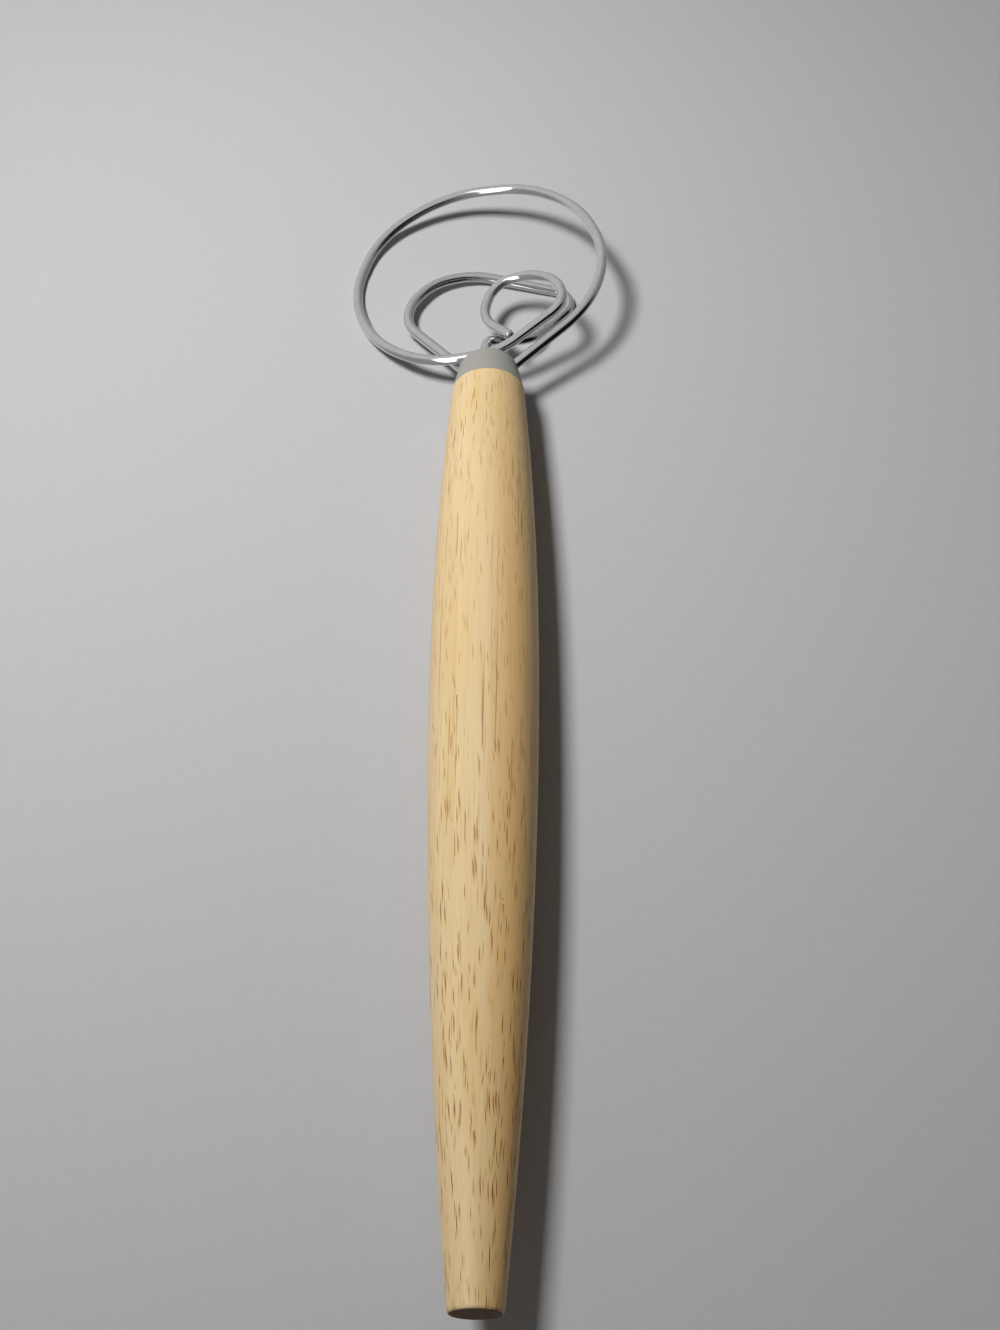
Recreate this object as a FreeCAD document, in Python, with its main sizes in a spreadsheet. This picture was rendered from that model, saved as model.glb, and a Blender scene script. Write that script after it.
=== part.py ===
# Dough whisk: a turned wooden handle, a moulded cap and two bent steel wires.
#
# Every piece is drawn about the handle's axis. It runs along Y, with its zero where the wood meets
# the cap and the loops on the +Y side. Across is X and height is Z, and the outer loop is flat at
# height zero. The finished part lies on a table, held up by the belly of the handle, the left side
# of the outer loop and the low side of the middle loop.
import FreeCAD, Part
import math
import os
import Sketcher
from FreeCAD import Placement, Rotation, Vector

ACROSS = Vector(1, 0, 0)
ALONG = Vector(0, 1, 0)
UP = Vector(0, 0, 1)

# Lengths in millimetres, angles in degrees.
SIZES = {
    # handle, one turned piece of wood
    "wood_length": 247.5,
    "belly_place": 158.0,
    "belly_radius": 13.8,
    "butt_radius": 5.9,
    "butt_round": 0.9,
    "front_radius": 10.2,
    "spigot_radius": 8.4,
    "spigot_length": 3.5,
    "socket_depth": 25.0,
    # cap that is moulded round the roots of the wires
    "cap_length": 11.4,
    "nose_radius": 7.8,
    "nose_round": 4.0,
    "cap_clearance": 0.1,
    # stainless wire of both loops
    "wire_diameter": 3.0,
    "wire_clearance": 0.1,
    "cut_round": 1.0,
    # outer loop
    "outer_root_across": 5.5,
    "outer_root_along": 7.2,
    "outer_root_bend": 4.0,
    "outer_half_width": 39.0,
    "outer_reach": 83.0,
    "crossing_across": 2.8,
    "crossing_gap": 1.8,
    "crossing_rise": 0.2,
    "crossing_bend": 21.0,
    # small loop, the other end of the outer loop's wire
    "small_across": 11.0,
    "small_along": 32.7,
    "small_radius": 12.5,
    "small_rise": 0.2,
    "small_tilt_angle": 9.0,
    "cut_end_gap": 0.1,
    # middle loop
    "left_root_across": 5.2,
    "left_root_along": 9.6,
    "left_root_gap": 0.4,
    "left_root_bend": 4.0,
    "middle_half_width": 25.0,
    "middle_reach": 53.0,
    "middle_drop": 9.31,
    "middle_tilt_angle": 16.0,
    "nose_turn_across": 10.0,
    "nose_turn_along": 25.3,
    "nose_turn_drop": 8.0,
    "nose_root_across": 1.8,
    "nose_root_along": 23.6,
    "nose_root_gap": 0.2,
    "nose_root_bend": 3.2,
    # how the whisk lies on a table
    "rest_roll_angle": 13.76,
    "rest_pitch_angle": 1.1,
}

# Corners of the bent wires, as shares of each loop's half width and reach, or of the small loop's radius.
OUTER_LOOP_SHARES = (
    (0.77, 0.33),
    (0.91, 0.58),
    (0.70, 0.84),
    (0.28, 0.99),
    (-0.36, 1.02),
    (-0.92, 0.86),
    (-1.10, 0.57),
    (-0.92, 0.33),
    (-0.49, 0.18),
)
SMALL_LOOP_SHARES = (
    (0.96, -0.37),
    (0.79, 0.45),
    (0.01, 0.93),
    (-0.80, 0.87),
    (-1.14, -0.11),
)
MIDDLE_LOOP_SHARES = (
    (-1.03, 0.63),
    (-1.01, 0.79),
    (-0.75, 0.97),
    (-0.29, 1.05),
    (1.00, 0.91),
    (0.57, 0.65),
)
# How much of the shorter run beside a corner its bend takes up, where the bend has no radius of its own.
BEND_SHARE = 0.48
# Where along the small loop's straight leg the cut end of the wire lies beside it.
CUT_END_SHARE = 0.27

doc = FreeCAD.newDocument("dough_whisk")
sheet = doc.addObject("Spreadsheet::Sheet", "sizes")
for row, (name, value) in enumerate(SIZES.items(), start=1):
    sheet.set(f"A{row}", name)
    sheet.set(f"B{row}", str(value))
    sheet.setAlias(f"B{row}", name)
doc.recompute()


def size(name):
    """Value of one cell of the sheet."""
    return float(sheet.get(name))


def slope(name):
    """Rise per unit of run for an angle on the sheet."""
    return math.tan(math.radians(size(name)))


def origin_plane(body, role):
    """One of a body's own base planes."""
    return next(item for item in body.Origin.OriginFeatures if item.Role == role)


def new_sketch(body, name, role):
    """Empty sketch on one of the body's base planes."""
    sketch = body.newObject("Sketcher::SketchObject", name)
    sketch.AttachmentSupport = [(origin_plane(body, role), "")]
    sketch.MapMode = "FlatFace"
    return sketch


def dimension(sketch, kind, first, second, name, formula):
    """Distance from one sketch point to another, held by a formula of sheet cells."""
    reach = sketch.getPoint(*second) - sketch.getPoint(*first)
    drawn = reach.x if kind == "DistanceX" else reach.y
    index = sketch.addConstraint(Sketcher.Constraint(kind, *first, *second, drawn))
    sketch.renameConstraint(index, name)
    sketch.setExpression(f"Constraints.{name}", formula)


def join_ends(sketch, joints):
    """Make pairs of curve ends meet."""
    for first, second in joints:
        sketch.addConstraint(Sketcher.Constraint("Coincident", *first, *second))


def arc_between(start, inward, end):
    """Arc in the sketch plane from start to end, whose centre lies inward of its start."""
    chord = end - start
    radius = chord.dot(chord) / (2 * chord.dot(inward))
    centre = start + inward * radius
    angles = sorted(math.atan2(point.y - centre.y, point.x - centre.x) for point in (start, end))
    return Part.ArcOfCircle(Part.Circle(centre, UP, radius), *angles)


def revolve(body, sketch, name):
    """Full turn of a profile about the handle's axis."""
    turned = body.newObject("PartDesign::Revolution", name)
    turned.Profile = sketch
    turned.ReferenceAxis = (sketch, ["H_Axis"])
    turned.Angle = 360
    doc.recompute()
    return turned


def round_edge(body, base, edge_test, radius_name):
    """Fillet every edge of a feature that passes the test."""
    names = [f"Edge{number}" for number, edge in enumerate(base.Shape.Edges, start=1) if edge_test(edge)]
    fillet = body.newObject("PartDesign::Fillet", radius_name)
    fillet.Base = (base, names)
    fillet.setExpression("Radius", f"sizes.{radius_name}")
    body.Tip = fillet
    doc.recompute()
    return fillet


def lies_at(edge, along):
    """Whether a whole edge lies at one place along the handle."""
    box = edge.BoundBox
    return max(abs(box.YMin - along), abs(box.YMax - along)) < Part.Precision.confusion() * 100


# Where the roots of the wires stand beside the handle's axis, as formulas of (across, up).
ROOTS = {
    "outer_root": ("sizes.outer_root_across", "0"),
    "left_root": ("-sizes.left_root_across", "-(sizes.wire_diameter + sizes.left_root_gap)"),
    "nose_root": ("-sizes.nose_root_across", "-(sizes.wire_diameter + sizes.nose_root_gap)"),
}


def handle_profile(body):
    """Half outline of the wood: two arcs that meet at the belly, and the spigot that enters the cap."""
    sketch = new_sketch(body, "handle_profile", "YZ_Plane")
    butt = Vector(-size("wood_length"), 0, 0)
    rim = butt + Vector(0, size("butt_radius"), 0)
    belly = butt + Vector(size("belly_place"), size("belly_radius"), 0)
    front = Vector(0, size("front_radius"), 0)
    step = Vector(0, size("spigot_radius"), 0)
    tip = step + Vector(size("spigot_length"), 0, 0)
    tip_axis = Vector(size("spigot_length"), 0, 0)
    butt_face = sketch.addGeometry(Part.LineSegment(butt, rim))
    rear = sketch.addGeometry(arc_between(belly, -ALONG, rim))
    fore = sketch.addGeometry(arc_between(belly, -ALONG, front))
    shoulder = sketch.addGeometry(Part.LineSegment(front, step))
    side = sketch.addGeometry(Part.LineSegment(step, tip))
    spigot_face = sketch.addGeometry(Part.LineSegment(tip, tip_axis))
    axis = sketch.addGeometry(Part.LineSegment(tip_axis, butt))
    join_ends(sketch, (
        ((butt_face, 2), (rear, 2)),
        ((rear, 1), (fore, 2)),
        ((fore, 1), (shoulder, 1)),
        ((shoulder, 2), (side, 1)),
        ((side, 2), (spigot_face, 1)),
        ((spigot_face, 2), (axis, 1)),
        ((axis, 2), (butt_face, 1)),
    ))
    for line in (butt_face, shoulder, spigot_face):
        sketch.addConstraint(Sketcher.Constraint("Vertical", line))
    sketch.addConstraint(Sketcher.Constraint("Horizontal", side))
    for arc, belly_end in ((rear, 1), (fore, 2)):
        sketch.addConstraint(Sketcher.Constraint("Vertical", arc, 3, arc, belly_end))
    for point in ((axis, 1), (axis, 2)):
        sketch.addConstraint(Sketcher.Constraint("PointOnObject", *point, -1))
    sketch.addConstraint(Sketcher.Constraint("PointOnObject", shoulder, 1, -2))
    dimension(sketch, "DistanceX", (axis, 2), (-1, 1), "length", "sizes.wood_length")
    dimension(sketch, "DistanceX", (butt_face, 2), (rear, 1), "belly", "sizes.belly_place")
    dimension(sketch, "DistanceX", (-1, 1), (side, 2), "spigot", "sizes.spigot_length")
    dimension(sketch, "DistanceY", (-1, 1), (butt_face, 2), "butt_height", "sizes.butt_radius")
    dimension(sketch, "DistanceY", (-1, 1), (rear, 1), "belly_height", "sizes.belly_radius")
    dimension(sketch, "DistanceY", (-1, 1), (fore, 1), "front_height", "sizes.front_radius")
    dimension(sketch, "DistanceY", (-1, 1), (shoulder, 2), "spigot_height", "sizes.spigot_radius")
    return sketch


def make_handle():
    """Turned handle with three blind sockets for the roots of the wires."""
    body = doc.addObject("PartDesign::Body", "handle")
    turned = revolve(body, handle_profile(body), "turned_wood")
    butt = -size("wood_length")
    rounded = round_edge(body, turned, lambda edge: lies_at(edge, butt), "butt_round")
    plan = new_sketch(body, "socket_plan", "XZ_Plane")
    plan.setExpression("AttachmentOffset.Base.z", "-sizes.spigot_length")
    for name, (across, up) in ROOTS.items():
        circle = plan.addGeometry(Part.Circle(Vector(), UP, size("wire_diameter")))
        dimension(plan, "DistanceX", (-1, 1), (circle, 3), f"{name}_across", across)
        dimension(plan, "DistanceY", (-1, 1), (circle, 3), f"{name}_up", up)
        index = plan.addConstraint(Sketcher.Constraint("Radius", circle, size("wire_diameter")))
        plan.renameConstraint(index, f"{name}_bore")
        plan.setExpression(
            f"Constraints.{name}_bore", "sizes.wire_diameter / 2 + sizes.wire_clearance")
    sockets = body.newObject("PartDesign::Pocket", "sockets")
    sockets.Profile = plan
    sockets.setExpression("Length", "sizes.socket_depth + sizes.spigot_length")
    sockets.Reversed = True
    body.Tip = sockets
    doc.recompute()
    if sockets.Shape.Volume >= rounded.Shape.Volume:
        raise RuntimeError("the sockets cut nothing from the handle")
    return body


def rounded_path(corners, bends):
    """Centre line of a bent wire: straight runs joined by tangent arcs.

    bends gives the radius at some corners by their number. Elsewhere the bend takes its share of the run.
    """
    edges = []
    start = corners[0]
    for number in range(1, len(corners) - 1):
        corner = corners[number]
        back = corners[number - 1] - corner
        onward = corners[number + 1] - corner
        half_turn = (math.pi - back.getAngle(onward)) / 2
        if number in bends:
            trim = bends[number] * math.tan(half_turn)
        else:
            trim = BEND_SHARE * min(back.Length, onward.Length)
        radius = trim / math.tan(half_turn)
        back.normalize()
        onward.normalize()
        into = corner + back * trim
        out = corner + onward * trim
        inside = (back + onward).normalize()
        middle = corner + inside * (radius / math.cos(half_turn) - radius)
        edges.append(Part.LineSegment(start, into).toShape())
        edges.append(Part.Arc(into, middle, out).toShape())
        start = out
    edges.append(Part.LineSegment(start, corners[-1]).toShape())
    return Part.Wire(edges)


def outer_wire_corners():
    """Outer loop, then across in front of the cap into the small loop, which ends in a cut end.

    Gives the corners from the root on, and the bend radii that are set by themselves.
    """
    across = size("outer_root_across")
    corners = [Vector(across, -size("socket_depth"), 0), Vector(across, size("outer_root_along"), 0)]
    for side, reach in OUTER_LOOP_SHARES:
        corners.append(Vector(size("outer_half_width") * side, size("outer_reach") * reach, 0))
    crossing_along = size("cap_length") + size("wire_diameter") / 2 + size("crossing_gap")
    crossing = Vector(size("crossing_across"), crossing_along, size("crossing_rise"))
    crossing_number = len(corners)
    corners.append(crossing)
    radius = size("small_radius")
    for side, reach in SMALL_LOOP_SHARES:
        rise = size("small_rise") + radius * side * slope("small_tilt_angle")
        corners.append(Vector(size("small_across") + radius * side, size("small_along") + radius * reach, rise))
    leg = corners[crossing_number + 1] - crossing
    beside = UP.cross(leg).normalize() * (size("wire_diameter") + size("cut_end_gap"))
    cut_end = crossing + leg * CUT_END_SHARE + beside
    cut_end.z = size("small_rise") + (cut_end.x - size("small_across")) * slope("small_tilt_angle")
    corners.append(cut_end)
    bends = {1: size("outer_root_bend"), crossing_number: size("crossing_bend")}
    return corners, bends


def middle_wire_corners():
    """Middle loop, which leaves the cap's left shoulder, sinks to its low side and returns into the nose.

    Gives the corners from the left root to the nose root, and the bend radii that are set by themselves.
    """
    depth = size("socket_depth")
    left_drop = size("wire_diameter") + size("left_root_gap")
    nose_drop = size("wire_diameter") + size("nose_root_gap")
    left = -size("left_root_across")
    nose = -size("nose_root_across")
    corners = [Vector(left, -depth, -left_drop), Vector(left, size("left_root_along"), -left_drop)]
    for side, reach in MIDDLE_LOOP_SHARES:
        across = size("middle_half_width") * side
        drop = size("middle_drop") + across * slope("middle_tilt_angle")
        corners.append(Vector(across, size("middle_reach") * reach, -drop))
    corners.append(Vector(size("nose_turn_across"), size("nose_turn_along"), -size("nose_turn_drop")))
    nose_number = len(corners)
    corners.append(Vector(nose, size("nose_root_along"), -nose_drop))
    corners.append(Vector(nose, -depth, -nose_drop))
    bends = {1: size("left_root_bend"), nose_number: size("nose_root_bend")}
    return corners, bends


def tube(name, path, radius_formula):
    """Round bar swept along a centre line that starts parallel to the handle's axis."""
    spine = doc.addObject("Part::Feature", f"{name}_centre_line")
    spine.Shape = path
    section = doc.addObject("Part::Circle", f"{name}_section")
    section.setExpression("Radius", radius_formula)
    section.Placement = Placement(path.OrderedVertexes[0].Point, Rotation(UP, ALONG))
    swept = doc.addObject("Part::Sweep", f"{name}_bar")
    swept.Sections = [section]
    swept.Spine = (spine, [f"Edge{number}" for number in range(1, len(path.Edges) + 1)])
    swept.Solid = True
    doc.recompute()
    expected = section.Shape.Length ** 2 / (4 * math.pi) * path.Length
    print(f"{name}: {path.Length:.1f} mm long, volume {swept.Shape.Volume / expected:.4f} of section times length")
    return swept


def body_on(base, name):
    """Body that starts from a finished solid."""
    body = doc.addObject("PartDesign::Body", name)
    body.BaseFeature = base
    doc.recompute()
    return body


def make_outer_wire():
    """Wire of the outer and the small loop, with its cut end rounded off."""
    path = rounded_path(*outer_wire_corners())
    body = body_on(tube("outer_wire", path, "sizes.wire_diameter / 2"), "outer_wire")
    cut_end = path.OrderedVertexes[-1].Point
    reach = size("wire_diameter")

    def at_cut_end(edge):
        return edge.Closed and edge.CenterOfGravity.distanceToPoint(cut_end) < reach / 2

    round_edge(body, body.Tip, at_cut_end, "cut_round")
    return body


def make_middle_wire():
    """Wire of the middle loop, held at both ends."""
    path = rounded_path(*middle_wire_corners())
    return body_on(tube("middle_wire", path, "sizes.wire_diameter / 2"), "middle_wire")


def cap_profile(body):
    """Half outline of the cap: a cone with a flat nose, and the recess for the spigot."""
    sketch = new_sketch(body, "cap_profile", "YZ_Plane")
    recess = size("spigot_radius") + size("cap_clearance")
    floor = size("spigot_length") + size("cap_clearance")
    inner_rim = Vector(0, recess, 0)
    outer_rim = Vector(0, size("front_radius"), 0)
    nose = Vector(size("cap_length"), size("nose_radius"), 0)
    nose_axis = Vector(size("cap_length"), 0, 0)
    floor_axis = Vector(floor, 0, 0)
    floor_edge = Vector(floor, recess, 0)
    rim = sketch.addGeometry(Part.LineSegment(inner_rim, outer_rim))
    cone = sketch.addGeometry(Part.LineSegment(outer_rim, nose))
    face = sketch.addGeometry(Part.LineSegment(nose, nose_axis))
    axis = sketch.addGeometry(Part.LineSegment(nose_axis, floor_axis))
    bottom = sketch.addGeometry(Part.LineSegment(floor_axis, floor_edge))
    wall = sketch.addGeometry(Part.LineSegment(floor_edge, inner_rim))
    join_ends(sketch, (
        ((rim, 2), (cone, 1)),
        ((cone, 2), (face, 1)),
        ((face, 2), (axis, 1)),
        ((axis, 2), (bottom, 1)),
        ((bottom, 2), (wall, 1)),
        ((wall, 2), (rim, 1)),
    ))
    for line in (rim, face, bottom):
        sketch.addConstraint(Sketcher.Constraint("Vertical", line))
    sketch.addConstraint(Sketcher.Constraint("Horizontal", wall))
    for point in ((axis, 1), (axis, 2)):
        sketch.addConstraint(Sketcher.Constraint("PointOnObject", *point, -1))
    sketch.addConstraint(Sketcher.Constraint("PointOnObject", rim, 1, -2))
    dimension(sketch, "DistanceX", (-1, 1), (axis, 1), "length", "sizes.cap_length")
    dimension(sketch, "DistanceX", (-1, 1), (axis, 2), "floor", "sizes.spigot_length + sizes.cap_clearance")
    dimension(sketch, "DistanceY", (-1, 1), (rim, 2), "rim_height", "sizes.front_radius")
    dimension(sketch, "DistanceY", (-1, 1), (face, 1), "nose_height", "sizes.nose_radius")
    dimension(sketch, "DistanceY", (-1, 1), (rim, 1), "recess", "sizes.spigot_radius + sizes.cap_clearance")
    return sketch


def root_paths():
    """Centre lines of the three wire roots, each from its socket to the first corner past the cap."""
    outer, _ = outer_wire_corners()
    middle, _ = middle_wire_corners()
    return {
        "outer_root": rounded_path(outer[:3], {1: size("outer_root_bend")}),
        "left_root": rounded_path(middle[:3], {1: size("left_root_bend")}),
        "nose_root": rounded_path(middle[:-4:-1], {1: size("nose_root_bend")}),
    }


def make_cap():
    """Cap over the spigot, with a passage along each root of the wires."""
    blank = doc.addObject("PartDesign::Body", "cap_blank")
    turned = revolve(blank, cap_profile(blank), "turned_cap")
    nose = size("cap_length")
    round_edge(blank, turned, lambda edge: lies_at(edge, nose), "nose_round")
    cap = blank
    least_length = (size("cap_length") - size("spigot_length")) / 2
    for name, path in root_paths().items():
        passage = tube(f"{name}_passage", path, "sizes.wire_diameter / 2 + sizes.wire_clearance")
        cut = doc.addObject("Part::Cut", f"cap_with_{name}")
        cut.Base = cap
        cut.Tool = passage
        doc.recompute()
        least_cut = passage.Shape.Volume * least_length / path.Length
        if cap.Shape.Volume - cut.Shape.Volume < least_cut:
            raise RuntimeError(f"the passage of the {name} does not go through the cap")
        cap = cut
    return body_on(cap, "ferrule_cap")


def lay_on_table(pieces):
    """Turn all pieces into the rest pose, with the origin under the middle of the box that holds them."""
    roll = Rotation(ALONG, -size("rest_roll_angle"))
    pitch = Rotation(ACROSS, -size("rest_pitch_angle"))
    turn = pitch * roll
    box = FreeCAD.BoundBox()
    for piece in pieces:
        turned = piece.Shape.copy()
        turned.Placement = Placement(Vector(), turn)
        box.add(turned.optimalBoundingBox(False, False))
    seat = Placement(Vector(-box.Center.x, -box.Center.y, -box.ZMin), turn)
    for piece in pieces:
        piece.Placement = seat
    doc.recompute()


def check_model(pieces):
    """Stop if any object failed or any piece is not one sound solid."""
    for item in doc.Objects:
        if "Invalid" in item.State or "Error" in item.State:
            raise RuntimeError(f"{item.Label} failed: {item.State}")
    for piece in pieces:
        shape = piece.Shape
        if shape.isNull() or not shape.isValid() or len(shape.Solids) != 1:
            raise RuntimeError(f"{piece.Label} is not one valid solid")


def write_pieces(pieces):
    """One STEP file for each piece, named by its label."""
    os.makedirs("parts", exist_ok=True)
    for piece in pieces:
        piece.Shape.exportStep(f"parts/{piece.Label}.step")
        print(f"{piece.Label}: {piece.Shape.Volume:.0f} mm3, box {piece.Shape.optimalBoundingBox(False, False)}")


def main():
    """Build every piece, lay the whisk on its table and write the pieces."""
    pieces = [make_handle(), make_cap(), make_outer_wire(), make_middle_wire()]
    lay_on_table(pieces)
    check_model(pieces)
    write_pieces(pieces)


main()
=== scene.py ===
"""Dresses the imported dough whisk: a rubberwood handle, a moulded cap and two bent steel wires."""

import logging
import math
from dataclasses import dataclass, field
from enum import Enum, IntEnum
from typing import Any

import bmesh
import bpy
from mathutils import Matrix, Vector

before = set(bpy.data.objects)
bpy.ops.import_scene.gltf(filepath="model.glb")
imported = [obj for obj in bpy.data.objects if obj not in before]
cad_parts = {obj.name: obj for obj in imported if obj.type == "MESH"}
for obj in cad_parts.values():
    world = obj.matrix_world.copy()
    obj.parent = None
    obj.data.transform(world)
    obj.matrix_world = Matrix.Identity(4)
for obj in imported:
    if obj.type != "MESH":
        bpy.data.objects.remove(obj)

LOG = logging.getLogger("dough_whisk")
MILLIMETRE = 0.001
WHITE = "#FFFFFF"

Colour = tuple[float, float, float, float]
Point = tuple[float, float, float]
Span = tuple[float, float]


class Piece(Enum):
    """The solids of the whisk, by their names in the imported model."""

    HANDLE = "handle"
    CAP = "ferrule_cap"
    OUTER_WIRE = "outer_wire"
    MIDDLE_WIRE = "middle_wire"


class Blend(IntEnum):
    """The sockets of a colour Mix node, which share their names with its other sockets."""

    FACTOR = 0
    UNDER = 6
    OVER = 7
    RESULT = 2


def linear(hex_colour: str) -> Colour:
    """Turns an sRGB hex colour into the linear colour that shaders use.

    Args:
        hex_colour: six hex digits after a hash sign.

    Returns:
        Linear red, green, blue and an alpha of one.
    """
    levels = [int(hex_colour[place:place + 2], 16) / 255 for place in (1, 3, 5)]
    red, green, blue = (
        level / 12.92 if level <= 0.04045 else ((level + 0.055) / 1.055) ** 2.4 for level in levels
    )
    return red, green, blue, 1.0


def add_node(
    tree: bpy.types.NodeTree,
    kind: str,
    settings: dict[str | int, Any] | None = None,
    links: dict[str | int, bpy.types.NodeSocket] | None = None,
) -> bpy.types.Node:
    """Adds one node, gives it its settings and links its inputs.

    Args:
        tree: the node tree that gets the node.
        kind: Blender's name for the kind of node.
        settings: values by property name, input name or input number.
        links: feeding output sockets by input name or input number.

    Returns:
        The new node.
    """
    node = tree.nodes.new(kind)
    for name, value in (settings or {}).items():
        if isinstance(name, str) and hasattr(node, name):
            setattr(node, name, value)
        else:
            node.inputs[name].default_value = value
    for name, source in (links or {}).items():
        tree.links.new(source, node.inputs[name])
    return node


def blank_material(name: str) -> tuple[bpy.types.Material, bpy.types.NodeTree]:
    """Starts a node material with nothing in its tree.

    Args:
        name: the material's name.

    Returns:
        The material and its empty tree.
    """
    material = bpy.data.materials.new(name)
    material.use_nodes = True
    material.node_tree.nodes.clear()
    return material, material.node_tree


def dress(piece: Piece, material: bpy.types.Material) -> bpy.types.Object:
    """Gives one solid its finish on every material slot.

    Args:
        piece: the solid to dress.
        material: its finish.

    Returns:
        The dressed object.
    """
    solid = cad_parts[piece.value]
    for slot in solid.material_slots:
        slot.material = material
    return solid


@dataclass(frozen=True)
class GrainLayer:
    """One layer of grain: its sizes in millimetres, and the shares that a span of its grey gives."""

    width: float
    length: float
    octaves: float
    span: Span
    shares: Span = (0.0, 1.0)


@dataclass(frozen=True)
class LacqueredRubberwood:
    """Turned rubberwood under a satin clear lacquer: straw-coloured, with short brown vessel lines.

    The eye gets a cream board with honey bands, a warmer tone painted along one side as shade, fine
    fibres, a few long streaks, and vessel lines with a golden stain round a dark core. Sizes are in
    millimetres. Heights run along the handle's axis, from zero at its front to minus its length at the
    butt.
    """

    axis_point: Point
    pitch: float
    length: float

    # Board and painted shade. The shade is a warmer tone painted over a span to the right of the axis,
    # on the handle's shaded flank, and its shares are those at the butt and at the front.
    cream: str = "#E4CB9D"
    honey: str = "#DFBE87"
    bands: GrainLayer = GrainLayer(width=5.0, length=170.0, octaves=2.0, span=(0.42, 0.75))
    flank_shade: str = "#E8B262"
    flank_shade_side: Span = (-1.0, 8.0)
    flank_shade_shares: Span = (0.75, 0.3)

    # Fibres and streaks.
    fibre: str = "#CBA462"
    fibres: GrainLayer = GrainLayer(
        width=0.6, length=26.0, octaves=3.0, span=(0.45, 0.75), shares=(0.0, 0.3)
    )
    streak: str = "#A0702A"
    streaks: GrainLayer = GrainLayer(
        width=0.5, length=80.0, octaves=1.0, span=(0.63, 0.74), shares=(0.0, 0.75)
    )

    # Vessel lines lie in cells on the unrolled handle, each with a reach that is a share of its cell.
    # Real vessels are about 0.2 mm wide: they are drawn 0.14 to 0.41 mm wide, or the render loses them.
    vessel: str = "#704400"
    vessel_spacing: float = 0.68
    vessel_pitch: float = 8.5
    vessel_slant: float = 0.03
    vessel_reach: Span = (0.1, 0.3)
    girth_radius: float = 13.0
    wander_size: float = 8.333
    wander_octaves: float = 1.0
    wander_width: float = 1.6
    # The edges of a line's core and of the stain round it are multiples of its reach, outside first.
    vessel_edges: Span = (1.0, 0.75)
    stain: str = "#B87A14"
    stain_edges: Span = (2.1, 0.9)
    stain_share: float = 0.9
    # Lines come in clusters, fewer towards the front, and fade between two heights.
    clusters: GrainLayer = GrainLayer(
        width=8.0, length=45.0, octaves=1.0, span=(0.35, 0.65), shares=(0.3, 1.0)
    )
    vessel_shares: Span = (0.5, 0.35)
    darkness: Span = (0.75, 1.0)
    fading_heights: Span = (-230.0, -90.0)
    fading_shares: Span = (1.0, 0.25)

    # Bare end grain at the butt, between two heights above it: darker than the side grain, and painted
    # darker still as the shade that the butt face lies in.
    end_grain_and_shade: str = "#5E4426"
    rim_heights: Span = (0.3, 0.03)

    # Lacquered surface, a little sunk at the vessels.
    roughness: Span = (0.42, 0.54)
    ior: float = 1.5
    vessel_depth: float = 0.06
    sunk_strength: float = 0.08

    def material(self) -> bpy.types.Material:
        """Builds the wood: colour bands, fibres and vessel lines that run along the handle's axis.

        Returns:
            The finished material.
        """
        made, tree = blank_material("lacquered_rubberwood")
        place = add_node(tree, "ShaderNodeTexCoord")
        along = add_node(
            tree,
            "ShaderNodeMapping",
            {
                "vector_type": "TEXTURE",
                "Location": self.axis_point,
                "Rotation": (self.pitch, 0.0, 0.0),
                "Scale": (MILLIMETRE, MILLIMETRE, MILLIMETRE),
            },
            {"Vector": place.outputs["Object"]},
        ).outputs["Vector"]
        place_mm = add_node(tree, "ShaderNodeSeparateXYZ", links={"Vector": along})

        _, band = self._grain(tree, along, self.bands)
        fibre_grey, fibre = self._grain(tree, along, self.fibres)
        _, streak = self._grain(tree, along, self.streaks)
        vessel, stain = self._vessels(tree, along, place_mm)
        butt = add_node(
            tree,
            "ShaderNodeMapRange",
            {
                "interpolation_type": "SMOOTHSTEP",
                "From Min": self.rim_heights[0] - self.length,
                "From Max": self.rim_heights[1] - self.length,
            },
            {"Value": place_mm.outputs["Y"]},
        ).outputs["Result"]

        colour = add_node(
            tree,
            "ShaderNodeMix",
            {"data_type": "RGBA", Blend.UNDER: linear(self.cream), Blend.OVER: linear(self.honey)},
            {Blend.FACTOR: band},
        ).outputs[Blend.RESULT]
        for shade, share in (
            # Painted shade: a warmer tone on the handle's shaded right flank, strongest towards the
            # butt.
            (self.flank_shade, self._flank_shade(tree, place_mm)),
            (self.fibre, fibre),
            (self.streak, streak),
            (self.stain, stain),
            (self.vessel, vessel),
            # The butt's end grain: its own darker tone with painted shade on top.
            (self.end_grain_and_shade, butt),
        ):
            colour = add_node(
                tree,
                "ShaderNodeMix",
                {"data_type": "RGBA", Blend.OVER: linear(shade)},
                {Blend.FACTOR: share, Blend.UNDER: colour},
            ).outputs[Blend.RESULT]

        sunk = add_node(
            tree,
            "ShaderNodeBump",
            {
                "invert": True,
                "Strength": self.sunk_strength,
                "Distance": self.vessel_depth * MILLIMETRE,
            },
            {"Height": vessel},
        )
        gloss = add_node(
            tree,
            "ShaderNodeMapRange",
            {"To Min": self.roughness[0], "To Max": self.roughness[1]},
            {"Value": fibre_grey},
        ).outputs["Result"]
        # Lacquer soaks into the butt and the vessels, which turn matte.
        for soaked in (butt, vessel):
            gloss = add_node(
                tree, "ShaderNodeMath", {"operation": "MAXIMUM"}, {0: gloss, 1: soaked}
            ).outputs["Value"]
        shader = add_node(
            tree,
            "ShaderNodeBsdfPrincipled",
            {"IOR": self.ior},
            {"Base Color": colour, "Roughness": gloss, "Normal": sunk.outputs["Normal"]},
        )
        add_node(tree, "ShaderNodeOutputMaterial", links={"Surface": shader.outputs["BSDF"]})
        return made

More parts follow.
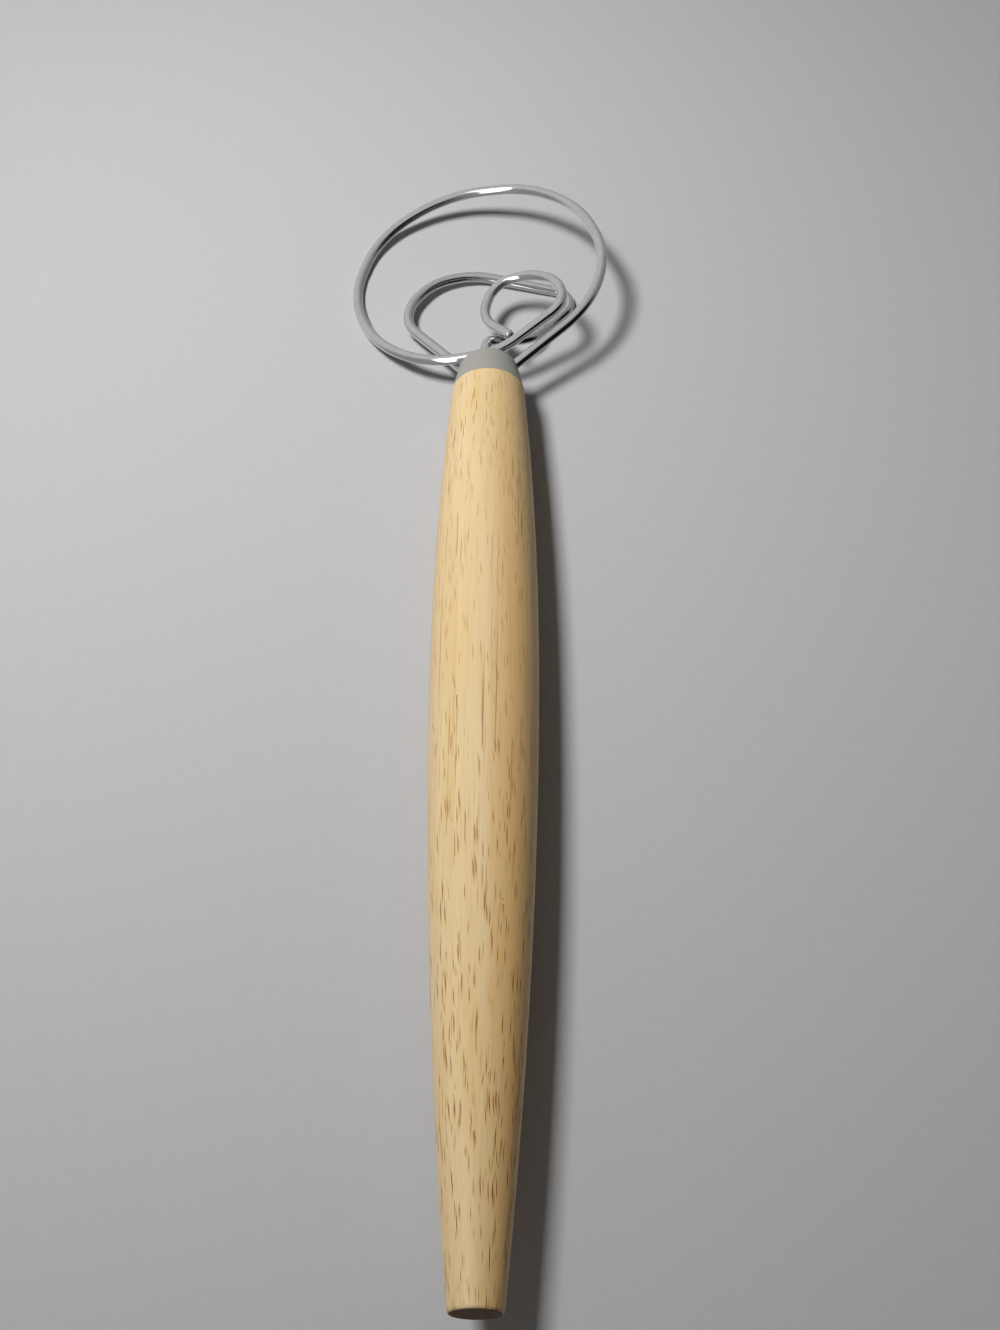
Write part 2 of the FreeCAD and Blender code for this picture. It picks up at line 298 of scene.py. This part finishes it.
    def _flank_shade(self, tree: bpy.types.NodeTree, place_mm: bpy.types.Node) -> bpy.types.NodeSocket:
        """Grades a warmer tone, painted shade on the handle's right flank, strongest towards the butt.

        Args:
            tree: the wood's node tree.
            place_mm: the node that splits the place on the handle into its three parts.

        Returns:
            How much painted shade shows, from none to one.
        """
        side = add_node(
            tree,
            "ShaderNodeMapRange",
            {
                "interpolation_type": "SMOOTHSTEP",
                "From Min": self.flank_shade_side[0],
                "From Max": self.flank_shade_side[1],
            },
            {"Value": place_mm.outputs["X"]},
        )
        low = add_node(
            tree,
            "ShaderNodeMapRange",
            {
                "From Min": -self.length,
                "From Max": 0.0,
                "To Min": self.flank_shade_shares[0],
                "To Max": self.flank_shade_shares[1],
            },
            {"Value": place_mm.outputs["Y"]},
        )
        return add_node(
            tree,
            "ShaderNodeMath",
            {"operation": "MULTIPLY"},
            {0: side.outputs["Result"], 1: low.outputs["Result"]},
        ).outputs["Value"]

    def _grain(
        self, tree: bpy.types.NodeTree, along: bpy.types.NodeSocket, layer: GrainLayer
    ) -> tuple[bpy.types.NodeSocket, bpy.types.NodeSocket]:
        """Draws one layer of grain, drawn out along the handle.

        Args:
            tree: the wood's node tree.
            along: place on the handle in millimetres.
            layer: the layer to draw.

        Returns:
            The layer's grey value, and how much of the layer shows.
        """
        drawn_out = add_node(
            tree,
            "ShaderNodeMapping",
            {"vector_type": "TEXTURE", "Scale": (layer.width, layer.length, layer.width)},
            {"Vector": along},
        )
        grey = add_node(
            tree,
            "ShaderNodeTexNoise",
            {"Scale": 1.0, "Detail": layer.octaves},
            {"Vector": drawn_out.outputs["Vector"]},
        ).outputs["Fac"]
        shown = add_node(
            tree,
            "ShaderNodeMapRange",
            {
                "From Min": layer.span[0],
                "From Max": layer.span[1],
                "To Min": layer.shares[0],
                "To Max": layer.shares[1],
            },
            {"Value": grey},
        ).outputs["Result"]
        return grey, shown

    def _vessels(
        self,
        tree: bpy.types.NodeTree,
        along: bpy.types.NodeSocket,
        place_mm: bpy.types.Node,
    ) -> list[bpy.types.NodeSocket]:
        """Draws short vessel lines, each with its own length and darkness, and the stain round them.

        Args:
            tree: the wood's node tree.
            along: place on the handle in millimetres.
            place_mm: the node that splits that place into its three parts.

        Returns:
            How much vessel and how much stain shows, each from none to one.
        """
        height = place_mm.outputs["Y"]
        angle = add_node(
            tree,
            "ShaderNodeMath",
            {"operation": "ARCTAN2"},
            {0: place_mm.outputs["X"], 1: place_mm.outputs["Z"]},
        )
        around = add_node(
            tree,
            "ShaderNodeMath",
            {"operation": "MULTIPLY", 1: self.girth_radius},
            {0: angle.outputs["Value"]},
        )
        unrolled = add_node(
            tree, "ShaderNodeCombineXYZ", links={"X": around.outputs["Value"], "Y": height}
        )
        wander = add_node(
            tree,
            "ShaderNodeTexNoise",
            {"Scale": 1.0 / self.wander_size, "Detail": self.wander_octaves},
            {"Vector": along},
        )
        bent = add_node(
            tree,
            "ShaderNodeVectorMath",
            {"operation": "MULTIPLY_ADD", 1: (self.wander_width, 0.0, 0.0)},
            {0: wander.outputs["Color"], 2: unrolled.outputs["Vector"]},
        )
        cells = add_node(
            tree,
            "ShaderNodeMapping",
            {
                "vector_type": "TEXTURE",
                "Rotation": (0.0, 0.0, self.vessel_slant),
                "Scale": (self.vessel_spacing, self.vessel_pitch, 1.0),
            },
            {"Vector": bent.outputs["Vector"]},
        )
        cell = add_node(
            tree,
            "ShaderNodeTexVoronoi",
            {"voronoi_dimensions": "2D", "Scale": 1.0},
            {"Vector": cells.outputs["Vector"]},
        )
        # Each cell's three random values decide whether it has a line, how long and how dark.
        chance = add_node(tree, "ShaderNodeSeparateColor", links={"Color": cell.outputs["Color"]})
        reach = add_node(
            tree,
            "ShaderNodeMapRange",
            {"To Min": self.vessel_reach[0], "To Max": self.vessel_reach[1]},
            {"Value": chance.outputs["Green"]},
        )
        nearness = add_node(
            tree,
            "ShaderNodeMath",
            {"operation": "DIVIDE"},
            {0: cell.outputs["Distance"], 1: reach.outputs["Result"]},
        )
        _, cluster = self._grain(tree, along, self.clusters)
        towards_butt = add_node(
            tree,
            "ShaderNodeMapRange",
            {
                "From Min": -self.length,
                "From Max": 0.0,
                "To Min": self.vessel_shares[0],
                "To Max": self.vessel_shares[1],
            },
            {"Value": height},
        )
        density = add_node(
            tree,
            "ShaderNodeMath",
            {"operation": "MULTIPLY"},
            {0: cluster, 1: towards_butt.outputs["Result"]},
        )
        kept = add_node(
            tree,
            "ShaderNodeMath",
            {"operation": "LESS_THAN"},
            {0: chance.outputs["Red"], 1: density.outputs["Value"]},
        )
        dark = add_node(
            tree,
            "ShaderNodeMapRange",
            {"To Min": self.darkness[0], "To Max": self.darkness[1]},
            {"Value": chance.outputs["Blue"]},
        )
        fading = add_node(
            tree,
            "ShaderNodeMapRange",
            {
                "From Min": self.fading_heights[0],
                "From Max": self.fading_heights[1],
                "To Min": self.fading_shares[0],
                "To Max": self.fading_shares[1],
            },
            {"Value": height},
        )
        presence = kept.outputs["Value"]
        for part in (dark.outputs["Result"], fading.outputs["Result"]):
            presence = add_node(
                tree, "ShaderNodeMath", {"operation": "MULTIPLY"}, {0: presence, 1: part}
            ).outputs["Value"]
        layers = []
        for edges, most in ((self.vessel_edges, 1.0), (self.stain_edges, self.stain_share)):
            line = add_node(
                tree,
                "ShaderNodeMapRange",
                {
                    "interpolation_type": "SMOOTHSTEP",
                    "From Min": edges[0],
                    "From Max": edges[1],
                    "To Max": most,
                },
                {"Value": nearness.outputs["Value"]},
            )
            layer = add_node(
                tree,
                "ShaderNodeMath",
                {"operation": "MULTIPLY"},
                {0: line.outputs["Result"], 1: presence},
            )
            layers.append(layer.outputs["Value"])
        return layers


@dataclass(frozen=True)
class MouldedNylon:
    """Warm grey nylon moulded against a spark-eroded tool: matte, with a very fine even grain.

    Sizes are in millimetres.
    """

    shade: str = "#98968F"
    worn: str = "#A4A29B"
    mottle_size: float = 4.0
    mottle_octaves: float = 3.0
    # The grain that such a tool leaves is finer than 0.1 mm: it is drawn coarser, so that it shows.
    grain_size: float = 0.3
    grain_octaves: float = 2.0
    grain_depth: float = 0.03
    grain_strength: float = 0.4
    roughness: Span = (0.56, 0.68)
    ior: float = 1.53

    def material(self) -> bpy.types.Material:
        """Builds the matte plastic.

        Returns:
            The finished material.
        """
        made, tree = blank_material("moulded_grey_nylon")
        place = add_node(tree, "ShaderNodeTexCoord")
        mottle = add_node(
            tree,
            "ShaderNodeTexNoise",
            {"Scale": 1.0 / (self.mottle_size * MILLIMETRE), "Detail": self.mottle_octaves},
            {"Vector": place.outputs["Object"]},
        )
        grain = add_node(
            tree,
            "ShaderNodeTexNoise",
            {"Scale": 1.0 / (self.grain_size * MILLIMETRE), "Detail": self.grain_octaves},
            {"Vector": place.outputs["Object"]},
        )
        colour = add_node(
            tree,
            "ShaderNodeMix",
            {"data_type": "RGBA", Blend.UNDER: linear(self.shade), Blend.OVER: linear(self.worn)},
            {Blend.FACTOR: mottle.outputs["Fac"]},
        )
        gloss = add_node(
            tree,
            "ShaderNodeMapRange",
            {"To Min": self.roughness[0], "To Max": self.roughness[1]},
            {"Value": mottle.outputs["Fac"]},
        )
        pitted = add_node(
            tree,
            "ShaderNodeBump",
            {"Strength": self.grain_strength, "Distance": self.grain_depth * MILLIMETRE},
            {"Height": grain.outputs["Fac"]},
        )
        shader = add_node(
            tree,
            "ShaderNodeBsdfPrincipled",
            {"IOR": self.ior},
            {
                "Base Color": colour.outputs[Blend.RESULT],
                "Roughness": gloss.outputs["Result"],
                "Normal": pitted.outputs["Normal"],
            },
        )
        add_node(tree, "ShaderNodeOutputMaterial", links={"Surface": shader.outputs["BSDF"]})
        return made


@dataclass(frozen=True)
class PolishedStainlessWire:
    """Drawn stainless wire, electropolished: mirror-bright, with a faint haze and bending ripples.

    Sizes are in millimetres.
    """

    bright: str = "#D6D7D8"
    hazed: str = "#C3C4C6"
    haze_size: float = 2.5
    haze_octaves: float = 4.0
    haze_span: Span = (0.3, 0.7)
    ripple_size: float = 5.0
    ripple_octaves: float = 1.0
    ripple_depth: float = 0.01
    ripple_strength: float = 0.3
    roughness: Span = (0.06, 0.14)

    def material(self) -> bpy.types.Material:
        """Builds the bright steel.

        Returns:
            The finished material.
        """
        made, tree = blank_material("polished_stainless_wire")
        place = add_node(tree, "ShaderNodeTexCoord")
        haze = add_node(
            tree,
            "ShaderNodeTexNoise",
            {"Scale": 1.0 / (self.haze_size * MILLIMETRE), "Detail": self.haze_octaves},
            {"Vector": place.outputs["Object"]},
        )
        ripple = add_node(
            tree,
            "ShaderNodeTexNoise",
            {"Scale": 1.0 / (self.ripple_size * MILLIMETRE), "Detail": self.ripple_octaves},
            {"Vector": place.outputs["Object"]},
        )
        colour = add_node(
            tree,
            "ShaderNodeMix",
            {"data_type": "RGBA", Blend.UNDER: linear(self.bright), Blend.OVER: linear(self.hazed)},
            {Blend.FACTOR: haze.outputs["Fac"]},
        )
        gloss = add_node(
            tree,
            "ShaderNodeMapRange",
            {
                "From Min": self.haze_span[0],
                "From Max": self.haze_span[1],
                "To Min": self.roughness[0],
                "To Max": self.roughness[1],
            },
            {"Value": haze.outputs["Fac"]},
        )
        bent = add_node(
            tree,
            "ShaderNodeBump",
            {"Strength": self.ripple_strength, "Distance": self.ripple_depth * MILLIMETRE},
            {"Height": ripple.outputs["Fac"]},
        )
        shader = add_node(
            tree,
            "ShaderNodeBsdfPrincipled",
            {"Metallic": 1.0},
            {
                "Base Color": colour.outputs[Blend.RESULT],
                "Roughness": gloss.outputs["Result"],
                "Normal": bent.outputs["Normal"],
            },
        )
        add_node(tree, "ShaderNodeOutputMaterial", links={"Surface": shader.outputs["BSDF"]})
        return made


@dataclass(frozen=True)
class StudioPaper:
    """Matte pale paper: one even tone that takes the whisk's shadow and fades into the backdrop.

    The backdrop is the brightness that the camera sees behind the paper. The fade holds the distances
    from the whisk's middle, in metres, over which the paper takes on that brightness.
    """

    backdrop: float
    shade: str = "#BFBFC1"
    fibre: str = "#BBBBBD"
    # Paper's fibres are far finer than these 3 mm: they are drawn coarser, so that they show.
    fibre_size: float = 3.0
    fibre_octaves: float = 2.0
    roughness: float = 0.9
    specular: float = 0.1
    fade: Span = (0.33, 0.62)

    def material(self) -> bpy.types.Material:
        """Builds the paper.

        Returns:
            The finished material.
        """
        made, tree = blank_material("studio_paper")
        place = add_node(tree, "ShaderNodeTexCoord")
        fibres = add_node(
            tree,
            "ShaderNodeTexNoise",
            {"Scale": 1.0 / (self.fibre_size * MILLIMETRE), "Detail": self.fibre_octaves},
            {"Vector": place.outputs["Object"]},
        )
        colour = add_node(
            tree,
            "ShaderNodeMix",
            {"data_type": "RGBA", Blend.UNDER: linear(self.shade), Blend.OVER: linear(self.fibre)},
            {Blend.FACTOR: fibres.outputs["Fac"]},
        )
        shader = add_node(
            tree,
            "ShaderNodeBsdfPrincipled",
            {"Roughness": self.roughness, "Specular IOR Level": self.specular},
            {"Base Color": colour.outputs[Blend.RESULT]},
        )
        distance = add_node(
            tree,
            "ShaderNodeVectorMath",
            {"operation": "LENGTH"},
            {0: place.outputs["Object"]},
        )
        far = add_node(
            tree,
            "ShaderNodeMapRange",
            {
                "interpolation_type": "SMOOTHSTEP",
                "From Min": self.fade[0],
                "From Max": self.fade[1],
            },
            {"Value": distance.outputs["Value"]},
        )
        ray = add_node(tree, "ShaderNodeLightPath")
        seen_far = add_node(
            tree,
            "ShaderNodeMath",
            {"operation": "MULTIPLY"},
            {0: far.outputs["Result"], 1: ray.outputs["Is Camera Ray"]},
        )
        backdrop = add_node(
            tree, "ShaderNodeEmission", {"Color": linear(WHITE), "Strength": self.backdrop}
        )
        faded = add_node(
            tree,
            "ShaderNodeMixShader",
            links={
                0: seen_far.outputs["Value"],
                1: shader.outputs["BSDF"],
                2: backdrop.outputs["Emission"],
            },
        )
        add_node(tree, "ShaderNodeOutputMaterial", links={"Surface": faded.outputs["Shader"]})
        return made


@dataclass
class Handle:
    """The turned wooden handle, whose grain follows its own tilted axis.

    The axis starts at the front of the wood, in metres, and its length to the butt is in millimetres.
    """

    front_point: Point = (0.0035910, 0.0812252, 0.0122846)
    pitch: float = math.radians(-1.1)
    length: float = 247.5

    def finish(self) -> list[bpy.types.Object]:
        """Dresses the wood."""
        wood = LacqueredRubberwood(self.front_point, self.pitch, self.length)
        return [dress(Piece.HANDLE, wood.material())]


@dataclass
class FerruleCap:
    """The moulded cap that closes the front of the handle round the wires."""

    nylon: MouldedNylon = field(default_factory=MouldedNylon)

    def finish(self) -> list[bpy.types.Object]:
        """Dresses the cap."""
        return [dress(Piece.CAP, self.nylon.material())]


@dataclass
class WireHead:
    """The outer and the middle wire, bent from the same bright stock."""

    steel: PolishedStainlessWire = field(default_factory=PolishedStainlessWire)

    def finish(self) -> list[bpy.types.Object]:
        """Dresses both wires with one steel."""
        bright = self.steel.material()
        return [dress(wire, bright) for wire in (Piece.OUTER_WIRE, Piece.MIDDLE_WIRE)]


@dataclass(frozen=True)
class SoftLamp:
    """A rectangular lamp with an even face: lengths in metres, power in watts, spread in degrees."""

    name: str
    place: Point
    aim: Point
    along: Point
    length: float
    width: float
    power: float
    spread: float

    def hang(self) -> bpy.types.Object:
        """Hangs the lamp with its long side along its own direction.

        Returns:
            The lamp.
        """
        glow = bpy.data.lights.new(self.name, "AREA")
        glow.shape = "RECTANGLE"
        glow.size = self.length
        glow.size_y = self.width
        glow.energy = self.power
        glow.spread = math.radians(self.spread)
        lamp = bpy.data.objects.new(self.name, glow)
        long_side = Vector(self.along).normalized()
        back = Vector(self.place) - Vector(self.aim)
        back = (back - back.dot(long_side) * long_side).normalized()
        turned = Matrix((long_side, back.cross(long_side), back)).transposed().to_4x4()
        lamp.matrix_world = Matrix.Translation(self.place) @ turned
        bpy.context.scene.collection.objects.link(lamp)
        return lamp


@dataclass(frozen=True)
class RoomGrade:
    """One side of the room that is darker than the rest.

    The side is a direction, the reach holds the cosines to it where the dimming starts and ends, and
    the share is what the dimming leaves of the room's brightness.
    """

    side: Point
    reach: Span
    share: float


@dataclass
class Studio:
    """The floor, the lamps, the room and the camera round the whisk.

    Places are in metres. The fill is the room's light on matte surfaces, and the surround is its
    brightness to the camera and, before the grades, in reflections.
    """

    floor_half: float = 4.0
    key: SoftLamp = SoftLamp(
        name="key_lamp",
        place=(-0.3, 0.06, 0.7),
        aim=(-0.05, 0.18, 0.0),
        along=(0.0, 0.986, 0.169),
        length=0.2,
        width=0.16,
        power=2.22,
        spread=112.0,
    )
    window: SoftLamp = SoftLamp(
        name="window",
        place=(-0.58, -0.95, 0.32),
        aim=(0.0, 0.12, 0.01),
        along=(-0.06, -0.84, -0.54),
        length=2.5,
        width=0.29,
        power=6.6,
        spread=180.0,
    )
    fill: float = 0.16
    surround: float = 0.68
    grades: tuple[RoomGrade, ...] = (
        RoomGrade(side=(0.97, 0.18, -0.15), reach=(-0.5, 1.3), share=0.3),
        RoomGrade(side=(0.74, -0.65, 0.16), reach=(0.52, 0.78), share=0.03),
        RoomGrade(side=(-0.34, -0.93, -0.14), reach=(0.15, 0.6), share=0.5),
    )
    camera_place: Point = (0.007524, -0.228474, 0.370384)
    camera_tilt: float = math.radians(31.49)
    camera_roll: float = math.radians(0.455)
    nearest_seen: float = 0.01
    # The focal length and the picture's height are in pixels, the sensor in millimetres.
    focal_pixels: float = 1650.0
    picture_height: float = 1330.0
    sensor: float = 36.0

    def build(self) -> None:
        """Sets up the whole studio."""
        self._floor()
        self._lamps()
        self._surround()
        self._camera()

    def _floor(self) -> None:
        """Lays the pale paper, which glossy surfaces don't mirror."""
        shape = bmesh.new()
        bmesh.ops.create_grid(shape, x_segments=1, y_segments=1, size=self.floor_half)
        mesh = bpy.data.meshes.new("floor")
        shape.to_mesh(mesh)
        shape.free()
        mesh.materials.append(StudioPaper(self.surround).material())
        floor = bpy.data.objects.new("floor", mesh)
        floor.visible_glossy = False
        bpy.context.scene.collection.objects.link(floor)

    def _lamps(self) -> None:
        """Hangs the key lamp, which lights matte surfaces, and the window, which glossy ones mirror."""
        self.key.hang().visible_glossy = False
        self.window.hang().visible_diffuse = False

    def _surround(self) -> None:
        """Gives the room a soft fill that each grade dims, and the camera an even backdrop."""
        world = bpy.data.worlds.new("studio")
        world.use_nodes = True
        tree = world.node_tree
        tree.nodes.clear()
        ray = add_node(tree, "ShaderNodeLightPath")
        mirrored = add_node(
            tree,
            "ShaderNodeMath",
            {"operation": "MAXIMUM"},
            {0: ray.outputs["Is Glossy Ray"], 1: ray.outputs["Is Transmission Ray"]},
        )
        level = add_node(
            tree,
            "ShaderNodeMapRange",
            {"To Min": self.fill, "To Max": self.surround},
            {"Value": mirrored.outputs["Value"]},
        )
        strength = level.outputs["Result"]
        for grade in self.grades:
            strength = self._graded(tree, strength, grade)
        backdrop = add_node(
            tree,
            "ShaderNodeMix",
            {"B": self.surround},
            {"Factor": ray.outputs["Is Camera Ray"], "A": strength},
        )
        glow = add_node(
            tree,
            "ShaderNodeBackground",
            {"Color": linear(WHITE)},
            {"Strength": backdrop.outputs["Result"]},
        )
        add_node(tree, "ShaderNodeOutputWorld", links={"Surface": glow.outputs["Background"]})
        bpy.context.scene.world = world

    def _graded(
        self, tree: bpy.types.NodeTree, strength: bpy.types.NodeSocket, grade: RoomGrade
    ) -> bpy.types.NodeSocket:
        """Dims the room towards one side.

        Args:
            tree: the room's node tree.
            strength: the room's strength so far.
            grade: the side to dim.

        Returns:
            The dimmed strength.
        """
        towards = add_node(tree, "ShaderNodeTexCoord")
        nearness = add_node(
            tree,
            "ShaderNodeVectorMath",
            {"operation": "DOT_PRODUCT", 1: grade.side},
            {0: towards.outputs["Generated"]},
        )
        share = add_node(
            tree,
            "ShaderNodeMapRange",
            {
                "interpolation_type": "SMOOTHSTEP",
                "From Min": grade.reach[0],
                "From Max": grade.reach[1],
                "To Min": 1.0,
                "To Max": grade.share,
            },
            {"Value": nearness.outputs["Value"]},
        )
        return add_node(
            tree,
            "ShaderNodeMath",
            {"operation": "MULTIPLY"},
            {0: strength, 1: share.outputs["Result"]},
        ).outputs["Value"]

    def _camera(self) -> None:
        """Places the camera at the photograph's angle."""
        lens = bpy.data.cameras.new("camera")
        lens.sensor_width = self.sensor
        lens.lens = self.focal_pixels / self.picture_height * self.sensor
        lens.clip_start = self.nearest_seen
        camera = bpy.data.objects.new("camera", lens)
        tilt = Matrix.Rotation(self.camera_tilt, 4, "X")
        roll = Matrix.Rotation(self.camera_roll, 4, "Z")
        camera.matrix_world = Matrix.Translation(self.camera_place) @ tilt @ roll
        bpy.context.scene.collection.objects.link(camera)
        bpy.context.scene.camera = camera


def main() -> None:
    """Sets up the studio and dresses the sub-assemblies in order."""
    logging.basicConfig(level=logging.INFO, format="%(name)s: %(message)s")
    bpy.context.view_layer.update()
    bpy.context.scene.view_settings.view_transform = "Standard"
    Studio().build()
    for assembly in (Handle(), FerruleCap(), WireHead()):
        for piece in assembly.finish():
            LOG.info("%s dressed in %s", piece.name, piece.material_slots[0].material.name)


if __name__ == "__main__":
    main()
